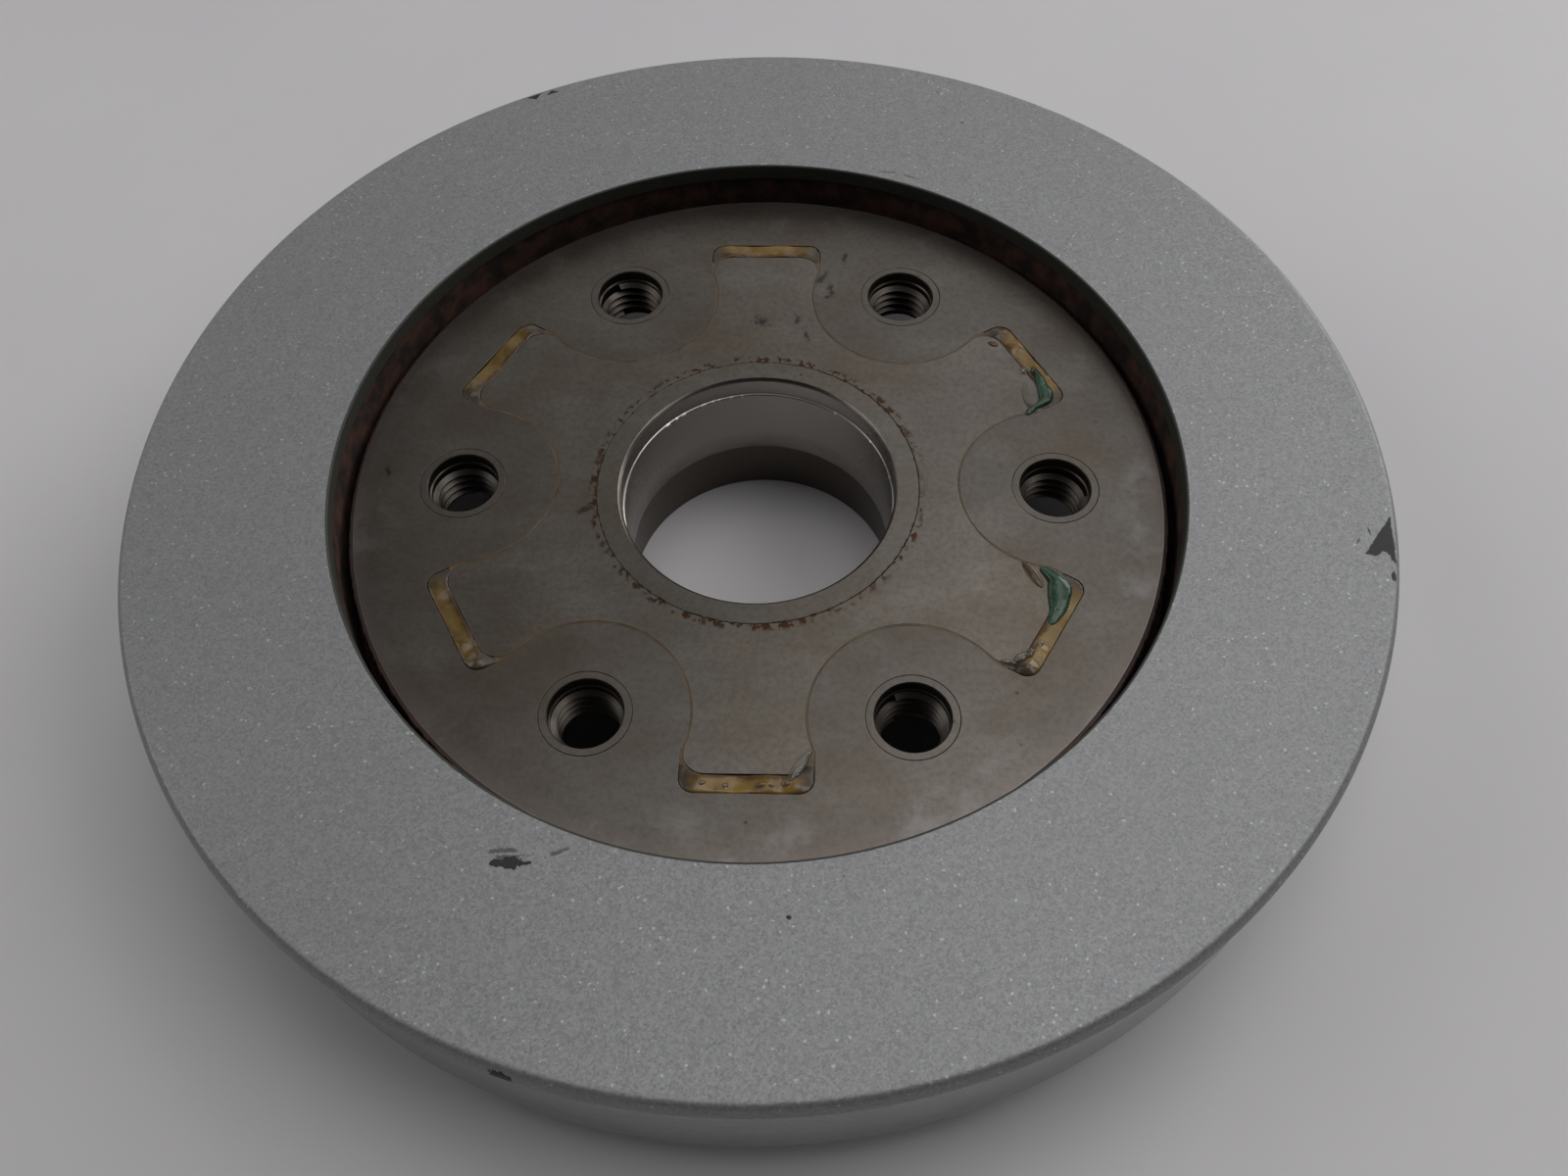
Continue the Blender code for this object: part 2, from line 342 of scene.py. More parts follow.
def add(tree, kind, inputs=None, **settings):
    """Add a shader node, set it up, and fill its inputs with values or with other nodes' outputs."""
    node = tree.nodes.new("ShaderNode" + kind)
    for key, value in settings.items():
        setattr(node, key, value)
    for key, value in (inputs or {}).items():
        socket = node.inputs[key]
        if isinstance(value, bpy.types.NodeSocket):
            tree.links.new(value, socket)
        else:
            socket.default_value = value
    return node


def calc(tree, operation, first, second=0.0):
    return add(tree, "Math", {0: first, 1: second}, operation=operation).outputs[0]


def times(tree, first, second):
    return calc(tree, "MULTIPLY", first, second)


def fade(tree, value, start, end, low=0.0, high=1.0):
    """Map a value from start..end to low..high, clamped."""
    inputs = {"Value": value, "From Min": start, "From Max": end, "To Min": low, "To Max": high}
    return add(tree, "MapRange", inputs).outputs["Result"]


def tint(tree, factor, first, second, mode="MIX"):
    """Mix two colours. A plain colour is a tuple of three numbers."""
    def whole(colour):
        return (*colour, 1.0) if isinstance(colour, tuple) else colour
    inputs = {0: factor, 6: whole(first), 7: whole(second)}
    return add(tree, "Mix", inputs, data_type="RGBA", blend_type=mode).outputs[2]


def object_place(tree):
    return add(tree, "TexCoord").outputs["Object"]


def noise(tree, scale, detail=4.0, roughness=0.55, vector=None):
    place = vector or object_place(tree)
    inputs = {"Vector": place, "Scale": scale, "Detail": detail, "Roughness": roughness}
    return add(tree, "TexNoise", inputs).outputs["Fac"]


def start_group(name, inputs, outputs):
    """A node group with named sockets. Gives the tree, its input node and its output node."""
    group = bpy.data.node_groups.new(name, "ShaderNodeTree")
    for label, kind, value in inputs:
        socket = group.interface.new_socket(
            name=label, in_out="INPUT", socket_type="NodeSocket" + kind
        )
        socket.default_value = value
    for label, kind in outputs:
        group.interface.new_socket(name=label, in_out="OUTPUT", socket_type="NodeSocket" + kind)
    return group, group.nodes.new("NodeGroupInput"), group.nodes.new("NodeGroupOutput")


def use_group(tree, group, **inputs):
    node = tree.nodes.new("ShaderNodeGroup")
    node.node_tree = group
    for key, value in inputs.items():
        socket = node.inputs[key]
        if isinstance(value, bpy.types.NodeSocket):
            tree.links.new(value, socket)
        else:
            socket.default_value = value
    return node


def axis_distance(tree, place):
    """Distance of a point from the rotor's axis."""
    parts = add(tree, "SeparateXYZ", {0: place})
    flat = add(tree, "CombineXYZ", {0: parts.outputs[0], 1: parts.outputs[1]})
    return add(tree, "VectorMath", {0: flat.outputs[0]}, operation="LENGTH").outputs["Value"]


# ---------------------------------------------------------------- shared effects


def build_turning_lines():
    """Fine grooves that a lathe leaves, running round the axis. Spacing is in metres."""
    tree, start, end = start_group(
        "turning_lines",
        [("Spacing", "Float", 0.4 * MM), ("Waver", "Float", 0.2 * MM)],
        [("Lines", "Float")],
    )
    place = object_place(tree)
    parts = add(tree, "SeparateXYZ", {0: place})
    sum_of_both = calc(tree, "ADD", axis_distance(tree, place), parts.outputs[2])
    wander = times(tree, noise(tree, 30.0, 2.0), start.outputs["Waver"])
    steps = calc(tree, "DIVIDE", calc(tree, "ADD", sum_of_both, wander), start.outputs["Spacing"])
    lines = add(tree, "TexNoise", {"W": steps, "Scale": 1.0, "Detail": 2.0}, noise_dimensions="1D")
    tree.links.new(lines.outputs["Fac"], end.inputs["Lines"])
    return tree


def build_stains():
    """Soft-edged patches. Cover is the share of the surface under them."""
    tree, start, end = start_group(
        "stains",
        [
            ("Scale", "Float", 60.0), ("Cover", "Float", 0.4), ("Softness", "Float", 0.15),
            ("Stretch", "Vector", (1, 1, 1)),
        ],
        [("Mask", "Float")],
    )
    place = {0: object_place(tree), 1: start.outputs["Stretch"]}
    stretched = add(tree, "VectorMath", place, operation="MULTIPLY")
    cloud = noise(tree, start.outputs["Scale"], 6.0, 0.6, stretched.outputs["Vector"])
    edge = calc(tree, "SUBTRACT", 1.0, start.outputs["Cover"])
    low = calc(tree, "SUBTRACT", edge, start.outputs["Softness"])
    high = calc(tree, "ADD", edge, start.outputs["Softness"])
    centred = fade(tree, cloud, 0.25, 0.75)
    tree.links.new(fade(tree, centred, low, high), end.inputs["Mask"])
    return tree


def build_specks():
    """Small round spots. Size is in cell widths, Share is how many of the cells hold one."""
    tree, start, end = start_group(
        "specks",
        [("Scale", "Float", 400.0), ("Size", "Float", 0.25), ("Share", "Float", 0.2)],
        [("Mask", "Float")],
    )
    cells = add(tree, "TexVoronoi", {"Vector": object_place(tree), "Scale": start.outputs["Scale"]})
    half = times(tree, start.outputs["Size"], 0.5)
    near = fade(tree, cells.outputs["Distance"], start.outputs["Size"], half)
    pick = add(tree, "SeparateColor", {0: cells.outputs["Color"]}).outputs[0]
    chosen = calc(tree, "LESS_THAN", pick, start.outputs["Share"])
    tree.links.new(times(tree, near, chosen), end.inputs["Mask"])
    return tree


def build_ring_band():
    """A band round the axis at one radius, broken up by noise. Breaks 0 leaves it whole."""
    tree, start, end = start_group(
        "ring_band",
        [
            ("Radius", "Float", 24 * MM), ("Width", "Float", 0.5 * MM),
            ("Breaks", "Float", 0.5), ("Grain", "Float", 900.0),
        ],
        [("Mask", "Float")],
    )
    off = calc(tree, "SUBTRACT", axis_distance(tree, object_place(tree)), start.outputs["Radius"])
    share = calc(tree, "DIVIDE", calc(tree, "ABSOLUTE", off), start.outputs["Width"])
    near = fade(tree, share, 1.0, 0.4)
    crumbs = fade(tree, noise(tree, start.outputs["Grain"], 3.0), 0.3, 0.7)
    kept = fade(tree, calc(tree, "SUBTRACT", crumbs, start.outputs["Breaks"]), -0.05, 0.1)
    tree.links.new(times(tree, near, kept), end.inputs["Mask"])
    return tree


PATCH_INPUTS = [
    ("Place", "Vector", (0, 0, 0)), ("Size", "Vector", (MM, MM, MM)), ("Turn", "Vector", (0, 0, 0)),
]


def patch_place(tree, start):
    """Where a point lies inside a patch, in the patch's own turned and scaled measure."""
    place = object_place(tree)
    moved = add(tree, "VectorMath", {0: place, 1: start.outputs["Place"]}, operation="SUBTRACT")
    turned = add(
        tree, "VectorRotate", {"Vector": moved.outputs[0], "Rotation": start.outputs["Turn"]},
        rotation_type="EULER_XYZ", invert=True,
    )
    return add(
        tree, "VectorMath", {0: turned.outputs[0], 1: start.outputs["Size"]}, operation="DIVIDE"
    )


def build_spot():
    """One ragged patch at a given place, with its own size and turn about Z."""
    tree, start, end = start_group(
        "spot",
        PATCH_INPUTS + [
            ("Ragged", "Float", 1.3), ("Grain", "Float", 900.0), ("Softness", "Float", 0.08),
        ],
        [("Mask", "Float")],
    )
    scaled = patch_place(tree, start)
    reach = add(tree, "VectorMath", {0: scaled.outputs[0]}, operation="LENGTH").outputs["Value"]
    rough = calc(tree, "SUBTRACT", noise(tree, start.outputs["Grain"], 5.0, 0.6), 0.5)
    shaped = calc(tree, "ADD", reach, times(tree, rough, start.outputs["Ragged"]))
    low = calc(tree, "SUBTRACT", 1.0, start.outputs["Softness"])
    tree.links.new(fade(tree, shaped, 1.0, low), end.inputs["Mask"])
    return tree


def build_arm_reach():
    """How far a place lies out along the arm it is nearest to."""
    tree, start, end = start_group("arm_reach", [], [("Reach", "Float")])
    place = object_place(tree)
    furthest = 0.0
    for index in range(ARM_COUNT // 2):
        arm = (index + 0.5) * SECTOR
        outwards = (math.cos(arm), math.sin(arm), 0)
        along = add(tree, "VectorMath", {0: place, 1: outwards}, operation="DOT_PRODUCT")
        furthest = calc(tree, "MAXIMUM", calc(tree, "ABSOLUTE", along.outputs["Value"]), furthest)
    tree.links.new(furthest, end.inputs["Reach"])
    return tree


def build_shard():
    """One three-cornered patch with a ragged outline. Its tip points along the turned -Y axis."""
    tree, start, end = start_group(
        "shard",
        PATCH_INPUTS + [
            ("Ragged", "Float", 0.22), ("Grain", "Float", 1100.0),
        ],
        [("Mask", "Float")],
    )
    scaled = patch_place(tree, start)
    furthest = -1.0
    for degrees in (90, 210, 330):
        side = (math.cos(math.radians(degrees)), math.sin(math.radians(degrees)), 0)
        out = add(tree, "VectorMath", {0: scaled.outputs[0], 1: side}, operation="DOT_PRODUCT")
        furthest = calc(tree, "MAXIMUM", out.outputs["Value"], furthest)
    rough = calc(tree, "SUBTRACT", noise(tree, start.outputs["Grain"], 5.0, 0.65), 0.5)
    shaped = calc(tree, "ADD", furthest, times(tree, rough, start.outputs["Ragged"]))
    tree.links.new(fade(tree, shaped, 0.5, 0.46), end.inputs["Mask"])
    return tree


def build_flakes():
    """Metal flakes in a coating: a brightness for each one, and a normal tilted its own way."""
    tree, start, end = start_group(
        "flakes",
        [("Scale", "Float", 3500.0), ("Tilt", "Float", 0.2)],
        [("Brightness", "Float"), ("Normal", "Vector")],
    )
    cells = add(tree, "TexVoronoi", {"Vector": object_place(tree), "Scale": start.outputs["Scale"]})
    grey = add(tree, "SeparateColor", {0: cells.outputs["Color"]}).outputs[0]
    middle = (0.5, 0.5, 0.5)
    lean = add(tree, "VectorMath", {0: cells.outputs["Color"], 1: middle}, operation="SUBTRACT")
    amount = add(
        tree, "VectorMath", {0: lean.outputs[0], "Scale": start.outputs["Tilt"]}, operation="SCALE"
    )
    facing = add(tree, "NewGeometry").outputs["Normal"]
    total = add(tree, "VectorMath", {0: facing, 1: amount.outputs[0]}, operation="ADD")
    unit = add(tree, "VectorMath", {0: total.outputs[0]}, operation="NORMALIZE")
    tree.links.new(grey, end.inputs["Brightness"])
    tree.links.new(unit.outputs[0], end.inputs["Normal"])
    return tree


TURNING_LINES = build_turning_lines()
STAINS = build_stains()
SPECKS = build_specks()
RING_BAND = build_ring_band()
SPOT = build_spot()
SHARD = build_shard()
FLAKES = build_flakes()
ARM_REACH = build_arm_reach()


# ---------------------------------------------------------------- materials


def new_material(name):
    material = bpy.data.materials.new(name)
    material.use_nodes = True
    return material, material.node_tree, material.node_tree.nodes["Principled BSDF"]


def plug(tree, shader, **sockets):
    """Set or wire the shader's inputs. A name's underscores stand for spaces."""
    for key, value in sockets.items():
        socket = shader.inputs[key.replace("_", " ")]
        if isinstance(value, bpy.types.NodeSocket):
            tree.links.new(value, socket)
        else:
            socket.default_value = value


def bump(tree, height, distance, strength=1.0, normal=None):
    inputs = {"Height": height, "Distance": distance, "Strength": strength}
    if normal:
        inputs["Normal"] = normal
    return add(tree, "Bump", inputs).outputs["Normal"]


def spots(tree, places, shape=SPOT, tall=2.5, **look):
    """The union of several patches, each given as (x, y, half length, half width, turn, level)."""
    total = 0.0
    for x, y, length, width, turn, level in places:
        mask = use_group(
            tree, shape, Place=(x * MM, y * MM, level), Size=(length * MM, width * MM, tall * MM),
            Turn=(0, 0, math.radians(turn)), **look,
        ).outputs["Mask"]
        total = calc(tree, "MAXIMUM", mask, total)
    return total


def friction_paint():
    """Silver-grey coating with fine flakes over black, chipped through in a few places."""
    material, tree, shader = new_material("friction_paint")
    flakes = use_group(tree, FLAKES, Scale=3300.0, Tilt=0.10)
    fine = use_group(tree, FLAKES, Scale=6500.0, Tilt=0.1)
    shine = flakes.outputs["Brightness"]
    dull, silver = (0.195, 0.197, 0.201), (0.330, 0.333, 0.338)
    base = tint(tree, shine, dull, silver)
    base = tint(tree, 0.5, base, tint(tree, fine.outputs["Brightness"], dull, silver))
    glint = calc(tree, "GREATER_THAN", shine, 0.993)
    base = tint(tree, times(tree, glint, 0.45), base, (0.62, 0.62, 0.63))
    haze = use_group(tree, STAINS, Scale=35.0, Cover=0.5, Softness=0.5).outputs["Mask"]
    base = tint(tree, times(tree, haze, 0.2), base, (0.215, 0.215, 0.215))
    bites = calc(tree, "SUBTRACT", 1.0, spots(tree, CHIP_BITES))
    shards = times(tree, spots(tree, FACE_SHARDS, SHARD), bites)
    chips = calc(tree, "MAXIMUM", shards, spots(tree, FACE_CHIPS, SPOT, Ragged=1.5, Grain=1900.0))
    rubbed = spots(tree, FACE_SCRATCHES, SPOT, Ragged=2.2, Grain=1300.0, Softness=0.4)
    dust = use_group(tree, SPECKS, Scale=240.0, Size=0.06, Share=0.10).outputs["Mask"]
    base = tint(tree, times(tree, dust, 0.45), base, (0.06, 0.055, 0.05))
    base = tint(tree, times(tree, rubbed, 0.7), base, (0.05, 0.045, 0.045))
    base = tint(tree, chips, base, (0.012, 0.012, 0.014))
    radius = axis_distance(tree, object_place(tree))
    lip = fade(tree, radius, FACE_INNER + 0.45 * MM, FACE_INNER + 0.2 * MM)
    crumbs = noise(tree, 1300.0, 4.0, 0.7)
    bare_lip = fade(tree, calc(tree, "ADD", lip, times(tree, crumbs, 0.6)), 0.55, 0.85)
    base = tint(tree, bare_lip, base, tint(tree, crumbs, (0.012, 0.014, 0.011), (0.05, 0.05, 0.038)))
    gone = calc(tree, "MAXIMUM", chips, bare_lip)
    peel = noise(tree, 1500.0, 3.0)
    shell = calc(tree, "SUBTRACT", peel, times(tree, chips, 3.0))
    normal = bump(tree, shell, 0.04 * MM, 0.4, flakes.outputs["Normal"])
    bare = calc(tree, "SUBTRACT", 1.0, gone)
    plug(
        tree, shader, Base_Color=base, Normal=normal,
        Metallic=times(tree, bare, 0.5),
        Roughness=fade(tree, gone, 0.0, 1.0, 0.5, 0.6),
    )
    return material


def steel_base(tree, dark, light, warmth, cover=0.5):
    """Colour of old machined steel: two greys in clouds, with warmer and paler patches."""
    clouds = use_group(tree, STAINS, Scale=28.0, Cover=cover, Softness=0.5).outputs["Mask"]
    small = use_group(tree, STAINS, Scale=190.0, Cover=0.45, Softness=0.4).outputs["Mask"]
    base = tint(tree, clouds, dark, light)
    base = tint(tree, times(tree, small, 0.4), base, light)
    hazy = use_group(tree, STAINS, Scale=70.0, Cover=0.32, Softness=0.2, Stretch=(0.7, 1.6, 1.0))
    pale = tuple(1.4 * part for part in light)
    base = tint(tree, times(tree, hazy.outputs["Mask"], 0.4), base, pale)
    brown = use_group(tree, STAINS, Scale=44.0, Cover=0.38, Softness=0.22, Stretch=(1.0, 1.3, 1.0))
    base = tint(tree, times(tree, brown.outputs["Mask"], 0.8), base, warmth)
    grain = fade(tree, noise(tree, 1100.0, 5.0, 0.7), 0.42, 0.66, 0.0, 0.4)
    return tint(tree, grain, base, (0.065, 0.056, 0.048))


def machined_steel(name, dark, light, warmth, marks=(), rough=0.36, line_depth=0.010):
    """Flat steel that was skimmed on a lathe and has since picked up stains and small marks."""
    material, tree, shader = new_material(name)
    base = steel_base(tree, dark, light, warmth)
    lines = use_group(tree, TURNING_LINES, Spacing=0.22 * MM, Waver=0.4 * MM).outputs["Lines"]
    base = tint(tree, times(tree, lines, 0.25), base, dark)
    dots = use_group(tree, SPECKS, Scale=330.0, Size=0.12, Share=0.10).outputs["Mask"]
    base = tint(tree, times(tree, dots, 0.6), base, (0.035, 0.026, 0.021))
    if marks:
        smears = spots(tree, marks, SPOT, Ragged=2.6, Grain=1400.0, Softness=0.7)
        base = tint(tree, times(tree, smears, 0.75), base, (0.028, 0.024, 0.023))
    cloud = noise(tree, 70.0, 6.0, 0.65)
    uneven = fade(tree, cloud, 0.3, 0.7, rough - 0.03, rough + 0.04)
    pits = times(tree, noise(tree, 900.0, 4.0), 0.6)
    height = calc(tree, "ADD", times(tree, lines, 0.5), pits)
    plug(
        tree, shader, Base_Color=base, Metallic=0.92, Roughness=uneven,
        Normal=bump(tree, height, line_depth * MM, 0.6),
    )
    return material, tree, shader, base


def rust_ring(tree, base, radius, width, breaks, grain, colour):
    band = use_group(tree, RING_BAND, Radius=radius, Width=width, Breaks=breaks, Grain=grain)
    return tint(tree, band.outputs["Mask"], base, colour)


def carrier_steel():
    material, tree, shader, base = machined_steel(
        "carrier_steel", (0.105, 0.094, 0.082), (0.150, 0.136, 0.120), (0.102, 0.079, 0.059),
        CARRIER_MARKS,
    )
    place = object_place(tree)
    radius = axis_distance(tree, place)
    outer = fade(tree, radius, 52 * MM, 60 * MM)
    streaks = use_group(tree, STAINS, Scale=120.0, Cover=0.28, Softness=0.12).outputs["Mask"]
    milky = times(tree, times(tree, outer, streaks), 0.6)
    base = tint(tree, milky, base, (0.24, 0.23, 0.235))
    blush = times(tree, fade(tree, radius, 57 * MM, 60 * MM), 0.45)
    base = tint(tree, blush, base, (0.175, 0.145, 0.133))
    foot = CARRIER_RADIUS - CARRIER_CHAMFER
    pale = fade(tree, radius, foot - 0.1 * MM, foot)
    base = tint(tree, times(tree, pale, 0.8), base, (0.36, 0.29, 0.27))
    base = rust_ring(tree, base, CARRIER_RADIUS, 0.45 * MM, 0.45, 500.0, (0.06, 0.03, 0.018))
    plug(tree, shader, Base_Color=base)
    return material


def hub_steel():
    material, tree, shader, base = machined_steel(
        "hub_steel", (0.124, 0.111, 0.097), (0.176, 0.159, 0.140), (0.120, 0.094, 0.066),
        HUB_MARKS, rough=0.33,
    )
    clusters = use_group(tree, STAINS, Scale=60.0, Cover=0.72, Softness=0.2).outputs["Mask"]
    rust, dirt = (0.055, 0.026, 0.012), (0.045, 0.032, 0.020)
    dots = rust_ring(tree, base, SLEEVE_RADIUS + 0.5 * MM, 0.9 * MM, 0.58, 1000.0, rust)
    line = rust_ring(tree, base, SLEEVE_RADIUS, 0.3 * MM, 0.5, 700.0, dirt)
    base = tint(tree, clusters, line, dots)
    radius = axis_distance(tree, object_place(tree))
    bore = fade(tree, radius, BOSS_BORE + 0.4 * MM, BOSS_BORE + 0.1 * MM)
    base = tint(tree, times(tree, bore, 0.7), base, (0.115, 0.098, 0.085))
    plug(tree, shader, Base_Color=base)
    return material


def sleeve_steel():
    material, tree, shader, base = machined_steel(
        "sleeve_steel", (0.120, 0.108, 0.095), (0.170, 0.154, 0.136), (0.140, 0.116, 0.088),
        rough=0.28,
    )
    base = rust_ring(tree, base, SLEEVE_RADIUS, 0.25 * MM, 0.6, 900.0, (0.05, 0.032, 0.018))
    level = add(tree, "SeparateXYZ", {0: object_place(tree)}).outputs[2]
    wall = fade(tree, axis_distance(tree, object_place(tree)), MOUTH_RADIUS + 0.2 * MM, MOUTH_RADIUS)
    base = tint(tree, times(tree, wall, 0.85), base, (0.42, 0.39, 0.355))
    # Darker in blotches towards the bottom of the bore.
    deep = fade(tree, level, SLEEVE_UNDERSIDE + 4.2 * MM, SLEEVE_UNDERSIDE + 0.5 * MM)
    blotches = use_group(tree, STAINS, Scale=90.0, Cover=0.6, Softness=0.4, Stretch=(1, 1, 3))
    deep_blotches = times(tree, deep, blotches.outputs["Mask"])
    base = tint(tree, times(tree, deep_blotches, 0.75), base, (0.09, 0.08, 0.07))
    # Painted highlight: a small near-white glint on each nick in the shoulder, standing in for lamp
    # glints on the edge.
    glint_spots = []
    for degrees, length in SHOULDER_NICKS:
        x, y = turned_place(BORE_RADIUS / MM, 0, math.radians(degrees))
        glint_spots.append((x, y, 0.3, 0.6 * length, degrees, FLOOR - MOUTH_DEPTH))
    bright = spots(tree, glint_spots, SPOT, 0.35, Ragged=0.6)
    base = tint(tree, times(tree, bright, 0.8), base, (0.66, 0.64, 0.60))
    plug(tree, shader, Base_Color=base)
    return material


def insert_steel():
    material, tree, shader, base = machined_steel(
        "insert_steel", (0.098, 0.087, 0.076), (0.142, 0.127, 0.112), (0.12, 0.095, 0.072)
    )
    level = add(tree, "SeparateXYZ", {0: object_place(tree)}).outputs[2]
    # Painted shade: the insert is darkened deeper down its hole, where little light reaches.
    deep = fade(tree, level, FLOOR - 0.05 * MM, FLOOR - 2.5 * MM)
    base = tint(tree, times(tree, deep, 0.5), base, (0.030, 0.025, 0.021))
    plug(tree, shader, Base_Color=base)
    return material


def rim_steel():
    """Bright turned band outside, heavy rust on the recess wall inside."""
    material, tree, shader, base = machined_steel(
        "rim_steel", (0.30, 0.295, 0.292), (0.39, 0.385, 0.382), (0.29, 0.265, 0.24),
        rough=0.24, line_depth=0.006,
    )
    radius = axis_distance(tree, object_place(tree))
    inside = fade(tree, radius, 70 * MM, 66 * MM)
    flecks = use_group(tree, STAINS, Scale=260.0, Cover=0.45, Softness=0.25).outputs["Mask"]
    rust = tint(tree, flecks, (0.014, 0.008, 0.006), (0.085, 0.035, 0.022))
    base = tint(tree, inside, base, rust)
    clean = calc(tree, "SUBTRACT", 1.0, inside)
    plug(
        tree, shader, Base_Color=base, Metallic=times(tree, clean, 0.95),
        Roughness=fade(tree, inside, 0.0, 1.0, 0.24, 0.85),
    )
    return material


def resin(name, thick, thin, rough=0.2, clear=0.0, edge=None, ends=None):
    """Glossy cured resin, deeper in colour where it is thick.

    edge is its colour along an arm's tip, ends its colour where it thins out towards the flanks.
    """
    material, tree, shader = new_material(name)
    depth = use_group(tree, STAINS, Scale=260.0, Cover=0.5, Softness=0.45).outputs["Mask"]
    base = tint(tree, depth, thick, thin)
    if edge:
        reach = use_group(tree, ARM_REACH).outputs["Reach"]
        radius = axis_distance(tree, object_place(tree))
        # Painted shade: beads towards -X, on the side turned from the main lamps, are darkened.
        side = add(tree, "SeparateXYZ", {0: object_place(tree)}).outputs[0]
        base = tint(tree, fade(tree, side, -20 * MM, -38 * MM, 0.0, 0.5), base, (0.055, 0.040, 0.015))
        waver = times(tree, noise(tree, 500.0, 4.0), 2.0 * MM)
        near_tip = fade(tree, calc(tree, "SUBTRACT", reach, waver), ARM_TIP, ARM_TIP - 0.5 * MM)
        base = tint(tree, times(tree, near_tip, 0.75), base, edge)
        square = calc(tree, "POWER", radius, 2.0)
        square = calc(tree, "SUBTRACT", square, calc(tree, "POWER", reach, 2.0))
        across = calc(tree, "SQRT", calc(tree, "MAXIMUM", square, 0.0))
        across = calc(tree, "ADD", across, waver)
        base = tint(tree, fade(tree, across, 6.8 * MM, 9.2 * MM, 0.0, 0.9), base, ends)
    grime = use_group(tree, SPECKS, Scale=1500.0, Size=0.3, Share=0.12).outputs["Mask"]
    base = tint(tree, times(tree, grime, 0.4), base, (0.03, 0.02, 0.012))
    plug(
        tree, shader, Base_Color=base, Roughness=rough, IOR=1.45,
        Normal=bump(tree, noise(tree, 800.0, 3.0), 0.04 * MM, 0.4),
    )
    shader.inputs["Transmission Weight"].default_value = clear
    return material


def bench():
    material, tree, shader = new_material("bench")
    patches = use_group(tree, STAINS, Scale=7.0, Cover=0.5, Softness=0.5).outputs["Mask"]
    base = tint(tree, patches, (0.60, 0.585, 0.60), (0.66, 0.645, 0.655))
    plug(tree, shader, Base_Color=base, Roughness=0.6)
    return material


# Marks on the coated face: x, y, half length, half width in millimetres, turn in degrees, level.
FACE_SHARDS = (
    (87.65, -14.1, 2.6, 5.2, 159.6, FACE_TOP),
    (-41.6, 79.4, 1.7, 0.8, 28.0, FACE_TOP),
    (-38.6, 80.6, 1.5, 0.6, 206.0, FACE_TOP),
)
CHIP_BITES = ((87.2, -17.1, 1.3, 1.7, 0.0, FACE_TOP), (85.3, -13.0, 0.8, 0.5, 40.0, FACE_TOP))
FACE_CHIPS = (
    (-28.2, -62.4, 1.5, 0.80, 3.0, FACE_TOP),
    (-29.9, -62.4, 0.9, 0.50, 0.0, FACE_TOP),
    (-26.5, -62.4, 1.2, 0.25, 6.0, FACE_TOP),
    (87.9, -19.4, 0.8, 0.35, 80.0, FACE_TOP),
    (-26.5, -87.2, 1.7, 0.35, -17.0, FACE_FOOT),
    (6.1, -68.7, 0.35, 0.28, 0.0, FACE_TOP),
    (86.0, -11.9, 0.7, 0.10, 100.0, FACE_TOP),
)
FACE_SCRATCHES = (
    (-22.4, -60.9, 1.8, 0.32, 24.0, FACE_TOP),
    (-29.0, -60.8, 2.2, 0.40, 2.0, FACE_TOP),
    (-28.6, -61.7, 1.8, 0.55, 4.0, FACE_TOP),
    (20.2, 60.4, 2.0, 0.18, -4.0, FACE_TOP),
    (24.0, 59.3, 2.0, 0.15, -25.0, FACE_TOP),
    (84.2, -13.6, 0.6, 0.2, 60.0, FACE_TOP),
    (33.3, 72.9, 0.4, 0.3, 0.0, FACE_TOP),
)
CARRIER_MARKS = (
    (9.3, 42.4, 2.0, 0.7, 60.0, FLOOR),
    (10.8, 39.4, 1.8, 0.7, 100.0, FLOOR),
    (10.2, 38.2, 1.2, 0.5, 20.0, FLOOR),
    (13.1, 47.3, 1.4, 0.5, 80.0, FLOOR),
    (-42.0, -19.0, 1.6, 0.5, 70.0, FLOOR),
    (-56.0, 2.0, 1.5, 0.5, 100.0, FLOOR),
)
HUB_MARKS = (
    (5.4, 33.0, 1.6, 0.7, 95.0, FLOOR),
    (7.0, 29.6, 1.8, 0.5, 110.0, FLOOR),
    (-0.5, 32.8, 1.7, 1.1, 140.0, FLOOR),
    (-25.5, -4.8, 1.8, 0.8, 30.0, FLOOR),
)

# Nicks in the bore's shoulder: degrees round the axis, length in millimetres.
SHOULDER_NICKS = (
    (136, 0.9), (131, 0.5), (127, 0.9), (117, 1.0), (112.5, 0.5), (109.5, 0.4), (104, 0.6), (99, 0.5),
    (55, 0.5), (33, 0.4), (12, 0.5),
)

# Radius at which an arm tip's bead begins.
BEAD_START = 45.6 * MM

